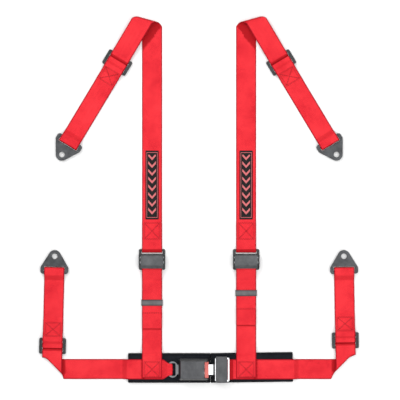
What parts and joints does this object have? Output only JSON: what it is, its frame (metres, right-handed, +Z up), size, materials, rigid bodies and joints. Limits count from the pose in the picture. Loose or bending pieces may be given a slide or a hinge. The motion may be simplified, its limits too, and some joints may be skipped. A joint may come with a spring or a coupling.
{
  "type": "racing harness",
  "caption": "Two inch webbing racing harness for lap and shoulders, with a push-button buckle on padded halves, lever adjusters and bolt-in anchor tabs, laid out flat.",
  "frame": {"origin": "on the surface that the harness lies on, at the middle of the rectangle that it covers", "axes": "+Z up, +Y from the lap belt towards the shoulders, +X to the tongue's side"},
  "size_m": [0.7988, 0.9149, 0.027],
  "materials": {
    "webbing": "woven polyester webbing",
    "black_steel": "satin black-grey coating",
    "plain_steel": "bright zinc",
    "spring_steel": "drawn wire",
    "chrome": "polished",
    "grey_plastic": "fine moulded grain",
    "button_plastic": "semi-gloss",
    "pad_fabric": "close-woven nylon over foam",
    "label_fabric": "woven satin"
  },
  "bodies": {
    "buckle_side": {"buckle_base": "grey_plastic", "buckle_cover": "grey_plastic", "buckle_frame": "plain_steel", "buckle_screws": "plain_steel", "pawl_pin": "plain_steel", "pawl_spring": "spring_steel", "ejector_spring": "spring_steel", "button_springs": "spring_steel", "left_adjuster_frame": "black_steel", "left_adjuster_lever_pin": "plain_steel", "left_adjuster_turn_bar": "plain_steel", "left_label": "label_fabric", "left_lap_end_webbing": "webbing", "left_lap_fold": "webbing", "left_lap_slide": "black_steel", "left_lap_webbing": "webbing", "left_lever_spring": "spring_steel", "left_pad": "pad_fabric", "left_riser_webbing": "webbing", "left_shoulder_end_webbing": "webbing", "left_shoulder_fold": "webbing", "left_shoulder_slide": "black_steel", "left_shoulder_webbing": "webbing"},
    "tongue_side": {"tongue_plate": "chrome", "tongue_grip": "grey_plastic", "right_adjuster_frame": "black_steel", "right_adjuster_lever_pin": "plain_steel", "right_adjuster_turn_bar": "plain_steel", "right_label": "label_fabric", "right_lap_end_webbing": "webbing", "right_lap_fold": "webbing", "right_lap_slide": "black_steel", "right_lap_webbing": "webbing", "right_lever_spring": "spring_steel", "right_pad": "pad_fabric", "right_riser_webbing": "webbing", "right_shoulder_end_webbing": "webbing", "right_shoulder_fold": "webbing", "right_shoulder_slide": "black_steel", "right_shoulder_webbing": "webbing"},
    "release_button": {"release_button": "button_plastic"},
    "latch_pawl": {"latch_pawl": "plain_steel"},
    "ejector": {"ejector": "grey_plastic"},
    "left_adjuster_lever": {"left_adjuster_lever": "black_steel"},
    "left_keeper": {"left_keeper": "grey_plastic"},
    "left_lap_anchor_tab": {"left_lap_anchor_tab": "black_steel"},
    "left_shoulder_anchor_tab": {"left_shoulder_anchor_tab": "black_steel"},
    "right_adjuster_lever": {"right_adjuster_lever": "black_steel"},
    "right_keeper": {"right_keeper": "grey_plastic"},
    "right_lap_anchor_tab": {"right_lap_anchor_tab": "black_steel"},
    "right_shoulder_anchor_tab": {"right_shoulder_anchor_tab": "black_steel"}
  },
  "joints": [
    {"name": "buckle_release", "type": "slide", "parent": "buckle_side", "child": "tongue_side", "axis": [1, 0, 0], "range_m": [0, 0.06]},
    {"name": "button_press", "type": "slide", "parent": "buckle_side", "child": "release_button", "axis": [-1, 0, 0], "range_m": [0, 0.005], "stiffness_N_per_m": 900, "springref_m": -0.004, "deforming": ["button_springs"]},
    {"name": "pawl_lift", "type": "hinge", "parent": "buckle_side", "child": "latch_pawl", "pos_m": [-0.03, -0.425, 0.019], "axis": [0, -1, 0], "range_deg": [0, 5.4]},
    {"name": "ejector_push", "type": "slide", "parent": "buckle_side", "child": "ejector", "axis": [1, 0, 0], "range_m": [0, 0.008], "deforming": ["ejector_spring"]},
    {"name": "left_shoulder_tab_swing", "type": "hinge", "parent": "buckle_side", "child": "left_shoulder_anchor_tab", "pos_m": [-0.32001, 0.14593, 0.00515], "axis": [-0.8572, 0.515, 0], "range_deg": [-80, 80]},
    {"name": "right_shoulder_tab_swing", "type": "hinge", "parent": "tongue_side", "child": "right_shoulder_anchor_tab", "pos_m": [0.32351, 0.14593, 0.00515], "axis": [-0.8572, -0.515, 0], "range_deg": [-80, 80]},
    {"name": "left_lap_tab_swing", "type": "hinge", "parent": "buckle_side", "child": "left_lap_anchor_tab", "pos_m": [-0.36, -0.18374, 0.00515], "axis": [0.9997, -0.0244, 0], "range_deg": [-80, 80]},
    {"name": "right_lap_tab_swing", "type": "hinge", "parent": "tongue_side", "child": "right_lap_anchor_tab", "pos_m": [0.36371, -0.18374, 0.00515], "axis": [0.9998, 0.0175, 0], "range_deg": [-80, 80]},
    {"name": "left_adjuster_lift", "type": "hinge", "parent": "buckle_side", "child": "left_adjuster_lever", "pos_m": [-0.116, -0.146, 0.0099], "axis": [-1, 0, 0], "range_deg": [0, 60]},
    {"name": "left_keeper_slide", "type": "slide", "parent": "buckle_side", "child": "left_keeper", "axis": [0, 1, 0], "range_m": [-0.0045, 0.0405]},
    {"name": "right_adjuster_lift", "type": "hinge", "parent": "tongue_side", "child": "right_adjuster_lever", "pos_m": [0.119, -0.146, 0.0099], "axis": [-1, 0, 0], "range_deg": [0, 60]},
    {"name": "right_keeper_slide", "type": "slide", "parent": "tongue_side", "child": "right_keeper", "axis": [0, 1, 0], "range_m": [-0.0185, 0.0165]}
  ],
  "couplings": [
    {"joint": "pawl_lift", "follows": "button_press", "rad_per_m": 18.831},
    {"joint": "ejector_push", "follows": "buckle_release", "ratio": 0.133}
  ]
}
